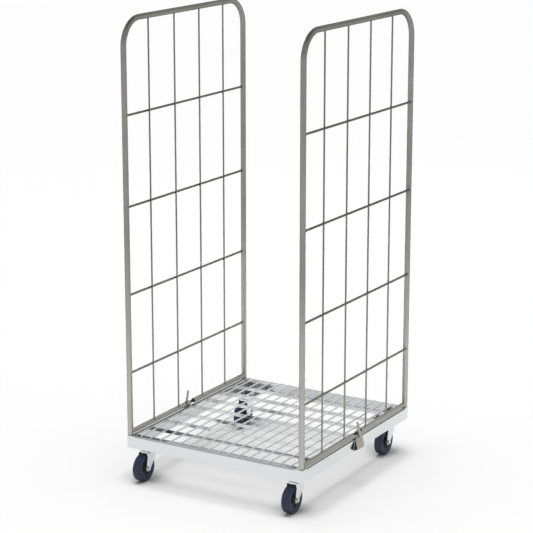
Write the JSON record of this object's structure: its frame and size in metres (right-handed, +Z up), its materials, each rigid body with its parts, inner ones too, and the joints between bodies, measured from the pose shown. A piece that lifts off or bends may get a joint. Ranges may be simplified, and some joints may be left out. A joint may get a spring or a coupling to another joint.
{
  "type": "roll container",
  "caption": "Roll container with a wire deck on a steel base, lift-off tube and wire side panels with latches, and swivel casters.",
  "frame": {"origin": "on the floor, under the middle of the whole outline in plan", "axes": "+X to the right of the open loading front, +Y from the front to the rear, +Z up; the panels stand at -X and +X"},
  "size_m": [0.752, 0.827, 1.6547],
  "materials": {
    "zinc_sheet": "smooth bright zinc-coated sheet, slightly satin",
    "zinc_wire": "bright zinc-plated wire and fasteners",
    "panel_steel": "smooth plated steel tube and wire, warm grey with soft reflections",
    "dark_steel": "dark oiled steel",
    "tyre_rubber": "matt navy rubber",
    "hub_plastic": "matt dark grey moulding"
  },
  "bodies": {
    "base": {"front_beam": "zinc_sheet", "rear_beam": "zinc_sheet", "left_side_rail": "zinc_sheet", "right_side_rail": "zinc_sheet", "deck_grid": "zinc_wire", "front_left_corner_bracket": "zinc_sheet", "front_left_caster_plate": "zinc_sheet", "front_right_corner_bracket": "zinc_sheet", "front_right_caster_plate": "zinc_sheet", "rear_left_corner_bracket": "zinc_sheet", "rear_left_caster_plate": "zinc_sheet", "rear_right_corner_bracket": "zinc_sheet", "rear_right_caster_plate": "zinc_sheet"},
    "left_panel": {"left_panel_frame": "panel_steel", "left_panel_wire_grid": "panel_steel", "left_panel_low_tube_a": "panel_steel", "left_panel_low_tube_b": "panel_steel", "left_latch_pin": "dark_steel"},
    "left_latch": {"left_latch_plate": "panel_steel", "left_latch_rod": "panel_steel"},
    "right_panel": {"right_panel_frame": "panel_steel", "right_panel_wire_grid": "panel_steel", "right_panel_low_tube_a": "panel_steel", "right_panel_low_tube_b": "panel_steel", "right_latch_pin": "dark_steel"},
    "right_latch": {"right_latch_plate": "panel_steel", "right_latch_rod": "panel_steel"},
    "front_left_swivel": {"front_left_caster_kingpin": "dark_steel", "front_left_caster_ball_race": "zinc_sheet", "front_left_caster_fork": "zinc_sheet", "front_left_caster_axle_bolt": "zinc_wire", "front_left_caster_axle_nut": "zinc_wire", "front_left_caster_bearing": "dark_steel"},
    "front_left_wheel": {"front_left_wheel_hub": "hub_plastic", "front_left_wheel_tyre": "tyre_rubber"},
    "front_right_swivel": {"front_right_caster_kingpin": "dark_steel", "front_right_caster_ball_race": "zinc_sheet", "front_right_caster_fork": "zinc_sheet", "front_right_caster_axle_bolt": "zinc_wire", "front_right_caster_axle_nut": "zinc_wire", "front_right_caster_bearing": "dark_steel"},
    "front_right_wheel": {"front_right_wheel_hub": "hub_plastic", "front_right_wheel_tyre": "tyre_rubber"},
    "rear_left_swivel": {"rear_left_caster_kingpin": "dark_steel", "rear_left_caster_ball_race": "zinc_sheet", "rear_left_caster_fork": "zinc_sheet", "rear_left_caster_axle_bolt": "zinc_wire", "rear_left_caster_axle_nut": "zinc_wire", "rear_left_caster_bearing": "dark_steel"},
    "rear_left_wheel": {"rear_left_wheel_hub": "hub_plastic", "rear_left_wheel_tyre": "tyre_rubber"},
    "rear_right_swivel": {"rear_right_caster_kingpin": "dark_steel", "rear_right_caster_ball_race": "zinc_sheet", "rear_right_caster_fork": "zinc_sheet", "rear_right_caster_axle_bolt": "zinc_wire", "rear_right_caster_axle_nut": "zinc_wire", "rear_right_caster_bearing": "dark_steel"},
    "rear_right_wheel": {"rear_right_wheel_hub": "hub_plastic", "rear_right_wheel_tyre": "tyre_rubber"}
  },
  "joints": [
    {"name": "left_panel_lift", "type": "slide", "parent": "base", "child": "left_panel", "axis": [0, 0, 1], "range_m": [0, 0.06]},
    {"name": "left_latch_flip", "type": "hinge", "parent": "left_panel", "child": "left_latch", "pos_m": [-0.3499, 0.0135, 0.18], "axis": [0, 1, 0], "range_deg": [0, 100]},
    {"name": "right_panel_lift", "type": "slide", "parent": "base", "child": "right_panel", "axis": [0, 0, 1], "range_m": [0, 0.06]},
    {"name": "right_latch_flip", "type": "hinge", "parent": "right_panel", "child": "right_latch", "pos_m": [0.3499, 0.0135, 0.18], "axis": [0, -1, 0], "range_deg": [0, 100]},
    {"name": "front_left_caster_swivel", "type": "hinge", "parent": "base", "child": "front_left_swivel", "pos_m": [-0.305, -0.3295, 0.115], "axis": [0, 0, 1], "continuous": true},
    {"name": "front_left_wheel_spin", "type": "hinge", "parent": "front_left_swivel", "child": "front_left_wheel", "pos_m": [-0.305, -0.3635, 0.05], "axis": [1, 0, 0], "continuous": true},
    {"name": "front_right_caster_swivel", "type": "hinge", "parent": "base", "child": "front_right_swivel", "pos_m": [0.305, -0.3295, 0.115], "axis": [0, 0, 1], "continuous": true},
    {"name": "front_right_wheel_spin", "type": "hinge", "parent": "front_right_swivel", "child": "front_right_wheel", "pos_m": [0.305, -0.3635, 0.05], "axis": [1, 0, 0], "continuous": true},
    {"name": "rear_left_caster_swivel", "type": "hinge", "parent": "base", "child": "rear_left_swivel", "pos_m": [-0.305, 0.3565, 0.115], "axis": [0, 0, 1], "continuous": true},
    {"name": "rear_left_wheel_spin", "type": "hinge", "parent": "rear_left_swivel", "child": "rear_left_wheel", "pos_m": [-0.305, 0.3225, 0.05], "axis": [1, 0, 0], "continuous": true},
    {"name": "rear_right_caster_swivel", "type": "hinge", "parent": "base", "child": "rear_right_swivel", "pos_m": [0.305, 0.3565, 0.115], "axis": [0, 0, 1], "continuous": true},
    {"name": "rear_right_wheel_spin", "type": "hinge", "parent": "rear_right_swivel", "child": "rear_right_wheel", "pos_m": [0.305, 0.3225, 0.05], "axis": [1, 0, 0], "continuous": true}
  ]
}
